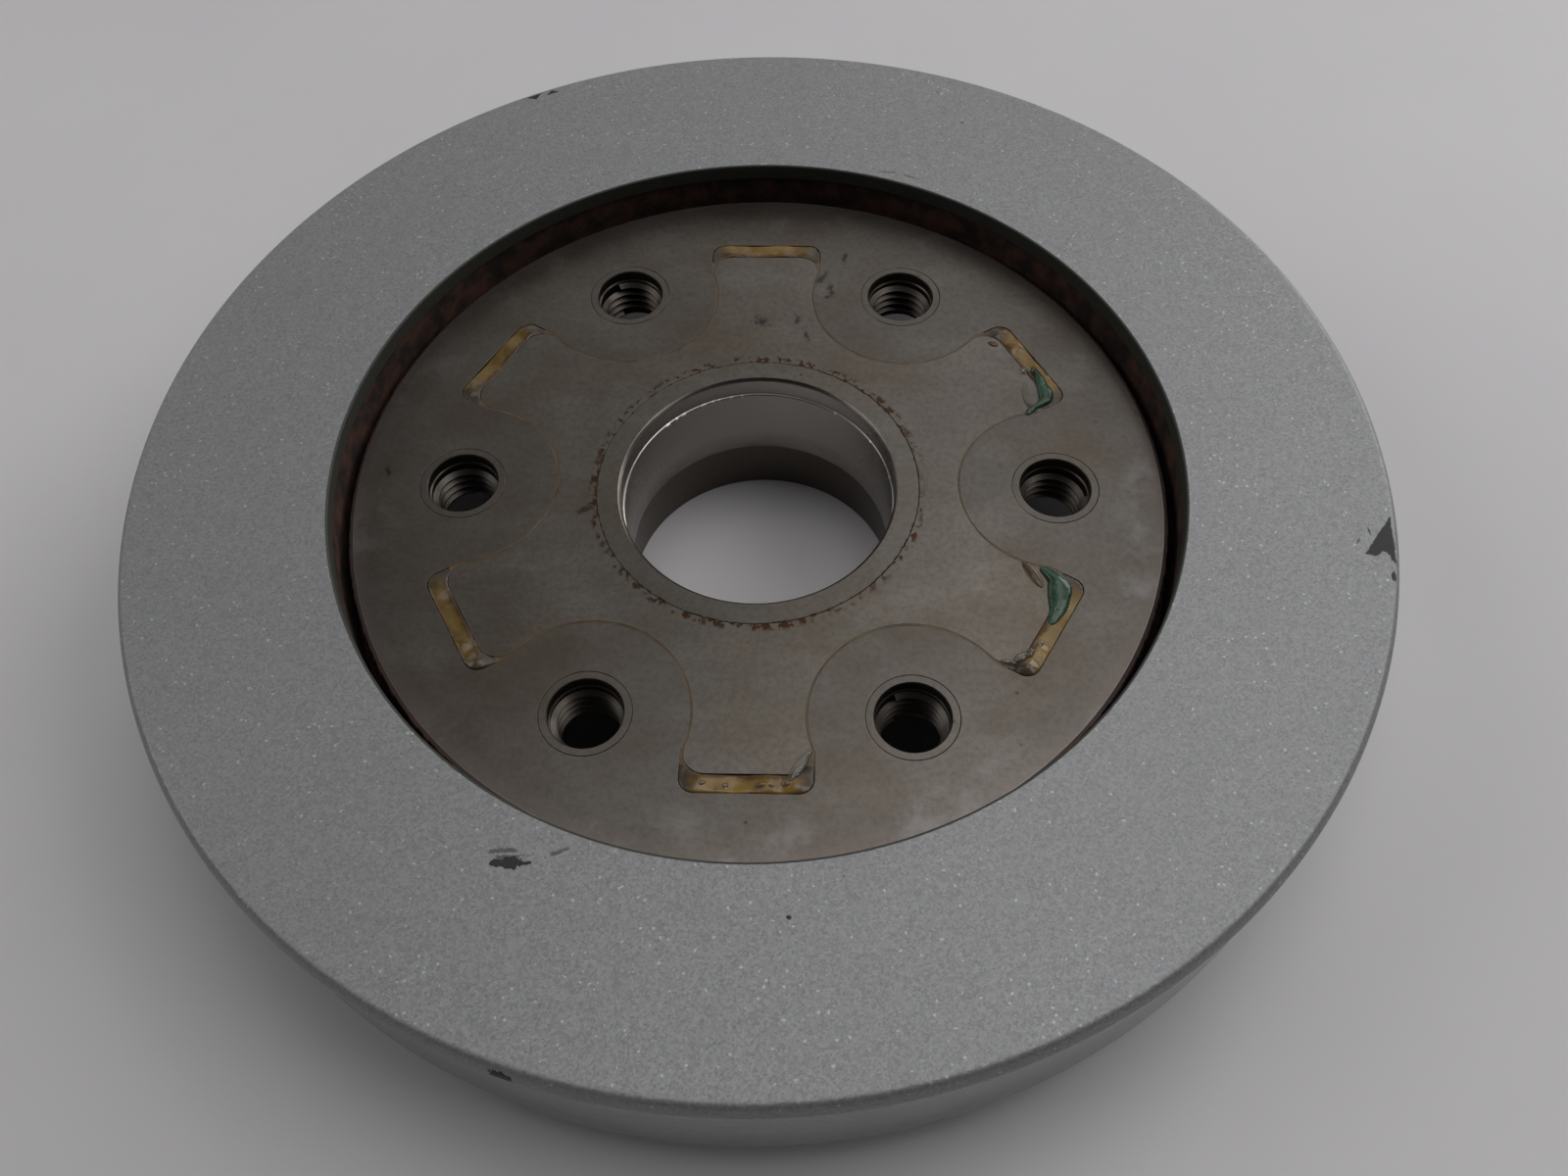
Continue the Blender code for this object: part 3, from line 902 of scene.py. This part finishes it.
# Pulls on each bead's top: radius, distance across the arm, lift and reach, in millimetres.
BEAD_LUMPS = (
    ((48.6, 4.0, 0.45, 2.2), (48.4, 0.5, -0.25, 3.0), (48.2, -4.0, 0.3, 3.0), (48.0, 7.6, 0.3, 1.6)),
    ((48.5, 6.0, 0.25, 2.6), (48.6, 2.2, -0.2, 2.0), (48.6, -2.5, 0.3, 3.0), (48.4, -6.5, 0.2, 2.0)),
    ((48.4, 7.0, 0.35, 2.4), (48.5, 2.0, -0.25, 4.0), (48.7, -3.0, 0.2, 2.5), (48.1, -7.4, 0.3, 2.0)),
    ((48.0, 7.6, 0.55, 2.4), (48.6, 4.0, 0.3, 2.4), (48.5, -1.0, -0.25, 4.0), (48.2, -6.5, 0.3, 2.5)),
    ((48.6, 6.5, 0.5, 2.2), (48.4, 3.0, 0.35, 2.0), (48.5, -1.0, -0.15, 3.0), (48.4, -6.4, 0.25, 2.4)),
    ((48.3, -7.4, 0.7, 2.0), (48.5, -4.6, 0.45, 2.2), (48.5, 0.0, 0.2, 3.5), (48.4, 5.5, 0.3, 3.0)),
)

# Pulls that shape the two green dabs: place and height of the grip, then the drag and its reach.
UPPER_DAB_PULLS = (
    (44.9, 18.0, 0.0, 0.7, 0.0, 0.0, 3.2),
    (43.8, 13.8, 0.0, -2.8, 0.1, 0.0, 3.2),
    (43.6, 22.6, 0.0, -0.9, 0.8, 0.0, 2.6),
    (44.8, 19.8, 0.7, 0.0, 0.0, -0.25, 1.5),
)
LOWER_DAB_PULLS = (
    (43.2, -14.3, 0.0, -2.1, 0.2, 0.0, 3.0),
    (43.2, -22.8, 0.0, -1.3, -1.1, 0.0, 2.8),
    (44.9, -18.2, 0.0, 0.4, 0.2, 0.0, 2.4),
    (43.0, -16.6, 0.8, 0.0, 0.0, 0.15, 1.6),
)

# Clear drops beside the beads: x, y, half length, half width, height, turn.
CLEAR_DROPS = (
    (42.3, 17.6, 1.7, 3.3, 0.30, 6.0),
    (41.2, 22.6, 0.7, 0.5, 0.75, -30.0),
    (42.5, 22.2, 0.6, 0.45, 0.75, 20.0),
    (37.3, -29.2, 1.3, 0.8, 0.70, 40.0),
    (38.6, -28.4, 0.9, 0.6, 0.60, 70.0),
    (35.6, -29.9, 1.2, 0.5, 0.55, -12.0),
    (39.9, -27.2, 1.2, 0.5, 0.45, 60.0),
    (42.9, -21.5, 0.6, 0.4, 0.85, 50.0),
    (6.9, -46.1, 0.8, 2.9, 0.60, -31.0),
    (5.4, -48.4, 0.9, 0.5, 0.50, 10.0),
    (1.9, -48.7, 0.8, 0.35, 0.45, 8.0),
    (3.3, -48.8, 0.5, 0.3, 0.45, -15.0),
    (-2.7, -48.8, 0.45, 0.4, 0.42, 0.0),
    (-5.8, -48.5, 0.6, 0.35, 0.42, 25.0),
)

# Amber that ran over the steel beside two beads, given like the drops.
AMBER_RUNS = (
    (39.9, -15.4, 0.8, 2.6, 0.35, 30.0),
    (36.7, 28.2, 0.9, 0.5, 0.30, -20.0),
)


# ---------------------------------------------------------------- pieces


def make_friction_ring(material):
    shoulder = EDGE_RADIUS - FACE_RADIUS
    drop = (FACE_TOP - FACE_FOOT) * 0.85
    outline = [(FACE_RADIUS - 0.3 * MM, FACE_TOP)]
    outline += [
        (FACE_RADIUS + shoulder * math.sin(a), FACE_TOP - drop * (1 - math.cos(a)))
        for a in [math.pi / 2 * step / 10 for step in range(11)]
    ]
    outline += [(EDGE_RADIUS, FACE_FOOT + 0.1 * MM), (EDGE_RADIUS - 0.1 * MM, FACE_FOOT)]
    outline += [(FACE_INNER, FACE_FOOT)]
    lip = 0.25 * MM
    outline += rounded((FACE_INNER + lip, FACE_TOP - lip), lip, 180, 90, 5)
    outline += [(FACE_INNER + 2 * lip, FACE_TOP)]
    ring = lathe("friction_ring", outline)
    settle(ring, "friction_paint", material, "friction_face")


def make_rim(material):
    ledge = PLATE_UNDERSIDE - SEAM
    c = RIM_CHAMFER
    outline = [(RIM_RADIUS, RIM_TOP), (RIM_RADIUS, RIM_UNDERSIDE + c)]
    outline += rounded((RIM_RADIUS - c, RIM_UNDERSIDE + c), c, 0, -90, 4)[1:]
    outline += rounded((LEDGE_RADIUS + c, RIM_UNDERSIDE + c), c, -90, -180, 4)
    outline += [(LEDGE_RADIUS, ledge), (WALL_RADIUS, ledge), (WALL_RADIUS, RIM_TOP)]
    rim = lathe("rim_drum", outline)
    settle(rim, "rim_steel", material, "rim_body")


def make_carrier(material):
    carrier = cylinder("carrier", CARRIER_RADIUS, PLATE_UNDERSIDE, FLOOR, vertices=TURNED_STEPS)
    break_edges(carrier, FLOOR, CARRIER_CHAMFER)
    pocket = star_prism(
        "pocket", LOBE_RADIUS, POCKET_TIP, POCKET_CORNER, POCKET_FLANK,
        PLATE_UNDERSIDE - OVERCUT, FLOOR + OVERCUT,
    )
    carve(carrier, pocket)
    for index in range(ARM_COUNT):
        place = turned_place(HOLE_CIRCLE, 0, index * SECTOR)
        drill = cylinder(
            "drill", INSERT_RADIUS + CLEARANCE, PLATE_UNDERSIDE - OVERCUT, FLOOR + OVERCUT, place
        )
        carve(carrier, drill)
    break_edges(carrier, FLOOR, CRISP_EDGE)
    smooth(carrier, FLAT_FACED)
    settle(carrier, "carrier_steel", material, "carrier_plate")


def make_hub(material):
    hub = star_prism("hub", LOBE_RADIUS + SEAM, ARM_TIP, ARM_CORNER, 0.0, PLATE_UNDERSIDE, FLOOR)
    boss = cylinder("boss", BOSS_RADIUS, 0.0, PLATE_UNDERSIDE + 4 * MM, vertices=BORE_STEPS)
    break_edges(boss, 0.0, 1.0 * MM)
    carve(hub, boss, "UNION")
    carve(hub, cylinder("bore", BOSS_BORE, -OVERCUT, FLOOR, vertices=BORE_STEPS))
    seat = SLEEVE_UNDERSIDE - SEAM
    carve(hub, cylinder("seat", SLEEVE_RADIUS + CLEARANCE, seat, FLOOR + OVERCUT, vertices=BORE_STEPS))
    break_edges(hub, FLOOR, CRISP_EDGE)
    smooth(hub, FLAT_FACED)
    settle(hub, "hub_steel", material, "star_hub")


def make_sleeve(material):
    shoulder = FLOOR - MOUTH_DEPTH
    chamfer = 0.45 * MM
    outline = [
        (SLEEVE_RADIUS, FLOOR - CRISP_EDGE),
        (SLEEVE_RADIUS, SLEEVE_UNDERSIDE),
        (BORE_RADIUS + 0.3 * MM, SLEEVE_UNDERSIDE),
        (BORE_RADIUS, SLEEVE_UNDERSIDE + 0.3 * MM),
        (BORE_RADIUS, shoulder - 0.12 * MM),
        (BORE_RADIUS + 0.10 * MM, shoulder),
        (MOUTH_RADIUS - 0.04 * MM, shoulder + 0.08 * MM),
        (MOUTH_RADIUS, shoulder + 0.2 * MM),
        (MOUTH_RADIUS, FLOOR - chamfer),
        (MOUTH_RADIUS + 0.5 * chamfer, FLOOR - 0.35 * chamfer),
        (MOUTH_RADIUS + chamfer, FLOOR),
        (SLEEVE_RADIUS - CRISP_EDGE, FLOOR),
    ]
    sleeve = lathe("sleeve", outline)
    for degrees, length in SHOULDER_NICKS:
        angle = math.radians(degrees)
        place = (*turned_place(BORE_RADIUS + 0.02 * MM, 0, angle), shoulder - 0.05 * MM)
        size = (0.16 * MM, length * MM, 0.24 * MM)
        carve(sleeve, box_tool("nick", place, size, angle))
    smooth(sleeve, FLAT_FACED)
    settle(sleeve, "sleeve_steel", material, "bore_sleeve")


def make_insert_blank():
    """A threaded insert at the origin: a turned ring with a helical ridge in its bore."""
    root_top = FLOOR - INSERT_MOUTH_DEPTH
    outline = [
        (INSERT_RADIUS, FLOOR - CRISP_EDGE),
        (INSERT_RADIUS, PLATE_UNDERSIDE),
        (THREAD_ROOT, PLATE_UNDERSIDE),
        (THREAD_ROOT, root_top - 0.1 * MM),
        (INSERT_MOUTH, root_top + 0.1 * MM),
        (INSERT_MOUTH, FLOOR - 0.15 * MM),
        (INSERT_MOUTH + 0.12 * MM, FLOOR),
        (INSERT_RADIUS - CRISP_EDGE, FLOOR),
    ]
    ring = lathe("insert", outline, HOLE_STEPS)
    turns = int((root_top - PLATE_UNDERSIDE) / THREAD_PITCH - 0.2)
    foot = THREAD_ROOT + 0.05 * MM
    half = THREAD_PITCH * 0.44
    start = PLATE_UNDERSIDE + half + 0.1 * MM
    ridge = start_point("thread", (foot, 0, start - half))
    flat = 0.1 * MM
    extrude_by(THREAD_CREST - foot, 0, half - flat)
    extrude_by(0, 0, 2 * flat)
    extrude_by(foot - THREAD_CREST, 0, half - flat)
    extrude_by(0, 0, -2 * half)
    close_up(ridge)
    modifier = ridge.modifiers.new("Screw", "SCREW")
    modifier.angle = 2 * math.pi
    modifier.screw_offset = THREAD_PITCH
    modifier.iterations = turns
    modifier.steps = 64
    modifier.render_steps = 64
    modifier.use_merge_vertices = False
    bpy.ops.object.modifier_apply(modifier=modifier.name)
    bpy.ops.object.mode_set(mode="EDIT")
    bpy.ops.mesh.select_all(action="SELECT")
    bpy.ops.mesh.remove_doubles(threshold=0.001 * MM)
    bpy.ops.mesh.fill_holes(sides=6)
    bpy.ops.mesh.normals_make_consistent(inside=False)
    bpy.ops.object.mode_set(mode="OBJECT")
    smooth(ridge)
    carve(ring, ridge, "UNION")
    smooth(ring, FLAT_FACED)
    return ring


def make_inserts(material):
    blank = make_insert_blank()
    for index in range(ARM_COUNT):
        insert = copy_of(blank, "threaded_insert_%d" % (index + 1))
        insert.rotation_euler.z = -2.1 * index
        insert.location = (*turned_place(HOLE_CIRCLE, 0, index * SECTOR), 0)
        bpy.ops.object.transform_apply(location=True, rotation=True, scale=True)
        settle(insert, "insert_steel", material, "thread_insert_%d" % (index + 1))
    bpy.data.objects.remove(blank, do_unlink=True)


def make_gap_blank():
    """The whole gap between the hub and the carrier as one body, wide at the arm tips."""
    shy = RESIN_GAP
    low, high = PLATE_UNDERSIDE + 0.5 * MM, FLOOR - 0.03 * MM
    gap = star_prism(
        "gap", LOBE_RADIUS + shy, POCKET_TIP - shy, POCKET_CORNER, POCKET_FLANK - shy, low, high
    )
    core = star_prism(
        "core", LOBE_RADIUS + SEAM - shy, ARM_TIP + shy, ARM_CORNER, 0.0, low - MM, high + MM
    )
    carve(gap, core)
    return gap


def tip_box(arm, reach):
    """A box over one arm tip, from the given radius outwards."""
    depth = POCKET_TIP + MM - reach
    middle = turned_place(reach + depth / 2, 0, arm)
    size = (depth, 2 * POCKET_FLANK + 2 * MM, 14 * MM)
    return box_tool("tip", (*middle, FLOOR - 5 * MM), size, arm)


def make_resin(amber, film):
    """Resin in the gap: one lumpy bead at each arm tip and a thin film along the flanks."""
    gap = make_gap_blank()
    for index, lumps in enumerate(BEAD_LUMPS):
        arm = (index + 0.5) * SECTOR
        bead = copy_of(gap, "tip_bead_%d" % (index + 1))
        carve(bead, tip_box(arm, BEAD_START), "INTERSECT")
        apply_modifier(bead, "REMESH", mode="VOXEL", voxel_size=RESIN_VOXEL, use_smooth_shade=True)
        apply_modifier(bead, "SMOOTH", factor=0.5, iterations=3)
        for along, across, lift, reach in lumps:
            place = turned_place(along * MM, across * MM, arm)
            pull(bead, (*place, FLOOR), (0, 0, lift * MM), reach * MM)
        roughen(bead, 1.6 * MM, 0.10 * MM)
        smooth(bead, 60)
        settle(bead, "amber_resin", amber, "resin_bead_%d" % (index + 1))
    for index in range(ARM_COUNT):
        carve(gap, tip_box((index + 0.5) * SECTOR, BEAD_START + 0.3 * MM))
    gap.name = "flank_film"
    smooth(gap, FLAT_FACED)
    settle(gap, "amber_resin", film)


def make_blob(name, place, size, turn, pulls):
    """A drop of sealant lying on the recess floor, dragged out of shape by a few pulls."""
    deselect_all()
    bpy.ops.mesh.primitive_ico_sphere_add(
        subdivisions=6, radius=1.0, location=(place[0] * MM, place[1] * MM, FLOOR - 0.05 * MM),
        rotation=(0, 0, math.radians(turn)),
    )
    blob = bpy.context.object
    blob.name = name
    blob.scale = [value * MM for value in size]
    bpy.ops.object.transform_apply(location=True, rotation=True, scale=True)
    for x, y, height, dx, dy, dz, reach in pulls:
        point = (x * MM, y * MM, FLOOR + height * MM)
        pull(blob, point, (dx * MM, dy * MM, dz * MM), reach * MM)
    roughen(blob, 1.1 * MM, 0.12 * size[2] * MM)
    activate(blob)
    bpy.ops.object.mode_set(mode="EDIT")
    bpy.ops.mesh.select_all(action="SELECT")
    bpy.ops.mesh.bisect(
        plane_co=(0, 0, FLOOR - 0.1 * MM), plane_no=(0, 0, 1), use_fill=True, clear_inner=True,
        threshold=0.001 * MM,
    )
    close_up(blob)
    smooth(blob, 60)
    return blob


def make_dabs(green, clear, amber):
    upper = make_blob("green_dab_upper", (43.8, 18.2), (1.0, 4.6, 0.85), 3.0, UPPER_DAB_PULLS)
    settle(upper, "green_sealant", green, "sealant_dab_1")
    lower = make_blob("green_dab_lower", (43.3, -18.6), (1.6, 4.4, 0.9), -3.0, LOWER_DAB_PULLS)
    settle(lower, "green_sealant", green, "sealant_dab_2")
    spills = (("clear_drop", CLEAR_DROPS, clear), ("amber_run", AMBER_RUNS, amber))
    for label, runs, material in spills:
        for index, (x, y, length, width, height, turn) in enumerate(runs):
            drop = make_blob("%s_%d" % (label, index + 1), (x, y), (length, width, height), turn, ())
            settle(drop, "amber_resin", material)


def make_floor(material):
    deselect_all()
    bpy.ops.mesh.primitive_plane_add(size=4.0, location=(0, 0, 0))
    floor = bpy.context.object
    floor.name = "bench_top"
    floor.data.materials.append(material)


# ---------------------------------------------------------------- camera and lights


# Camera: sensor and lens in millimetres, place in metres, turns in degrees.
SENSOR_WIDTH = 36.0
LENS = 32.17
CAMERA_PLACE = (0.00922, -0.12413, FACE_TOP + 0.16281)
CAMERA_YAW = 2.64
CAMERA_PITCH = 32.06
CAMERA_ROLL = -1.67

# The lamps hang on a dome of this radius and point at a spot just above the bench.
DOME_RADIUS = 1.6
LAMP_TARGET = (0, 0, 0.02)

# Name, azimuth from +X and elevation in degrees, size in metres, watts.
LAMPS = (
    ("window", 45, 22, (1.0, 0.7), 7.0),
    ("wall_right", 0, 48, (1.0, 0.8), 5.0),
    ("wall_far", 90, 22, (1.0, 0.7), 1.5),
    ("wall_far_top", 92, 45, (1.0, 0.8), 1.0),
    ("wall_far_left", 135, 22, (1.0, 0.7), 1.5),
    ("wall_left", 180, 40, (1.0, 0.8), 4.0),
    ("window_top", 60, 48, (1.0, 0.8), 1.1),
    ("ceiling", 38, 72, (1.1, 0.9), 3.4),
    ("ceiling_near", 95, 85, (0.9, 0.7), 2.6),
)


def aim(thing, place, target):
    thing.location = place
    thing.rotation_euler = (Vector(target) - Vector(place)).to_track_quat("-Z", "Y").to_euler()


def add_camera():
    data = bpy.data.cameras.new("camera")
    data.sensor_width = SENSOR_WIDTH
    data.lens = LENS
    data.clip_start = 0.01
    camera = bpy.data.objects.new("camera", data)
    bpy.context.collection.objects.link(camera)
    yaw = Matrix.Rotation(math.radians(CAMERA_YAW), 4, "Z")
    pitch = Matrix.Rotation(math.radians(CAMERA_PITCH), 4, "X")
    roll = Matrix.Rotation(math.radians(CAMERA_ROLL), 4, "Z")
    camera.matrix_world = Matrix.Translation(CAMERA_PLACE) @ yaw @ pitch @ roll
    bpy.context.scene.camera = camera


def add_light(name, azimuth, elevation, size, watts):
    """A soft lamp on a dome round the rotor, aimed at it. Angles in degrees, size in metres."""
    data = bpy.data.lights.new(name, "AREA")
    data.shape = "RECTANGLE"
    data.size, data.size_y = size
    data.energy = watts
    lamp = bpy.data.objects.new(name, data)
    bpy.context.collection.objects.link(lamp)
    turn, rise = math.radians(azimuth), math.radians(elevation)
    place = Vector((math.cos(rise) * math.cos(turn), math.cos(rise) * math.sin(turn), math.sin(rise)))
    aim(lamp, place * DOME_RADIUS, LAMP_TARGET)


def add_world():
    world = bpy.data.worlds.new("studio")
    world.use_nodes = True
    backdrop = world.node_tree.nodes["Background"]
    backdrop.inputs["Color"].default_value = (0.80, 0.80, 0.84, 1.0)
    backdrop.inputs["Strength"].default_value = 0.02
    bpy.context.scene.world = world


def main():
    add_camera()
    add_world()
    for lamp in LAMPS:
        add_light(*lamp)
    bpy.context.scene.view_settings.view_transform = "Standard"

    make_floor(bench())
    make_friction_ring(friction_paint())
    make_rim(rim_steel())
    make_carrier(carrier_steel())
    make_hub(hub_steel())
    make_sleeve(sleeve_steel())
    make_inserts(insert_steel())
    amber = resin(
        "amber_resin", (0.120, 0.062, 0.014), (0.270, 0.168, 0.042),
        edge=(0.045, 0.020, 0.007), ends=(0.052, 0.042, 0.031),
    )
    make_resin(amber, resin("film_resin", (0.05, 0.026, 0.010), (0.15, 0.10, 0.05), 0.3))
    make_dabs(
        resin("green_sealant", (0.010, 0.028, 0.017), (0.048, 0.105, 0.062)),
        resin("clear_resin", (0.50, 0.47, 0.40), (0.70, 0.67, 0.60), 0.08, 0.92),
        amber,
    )


main()
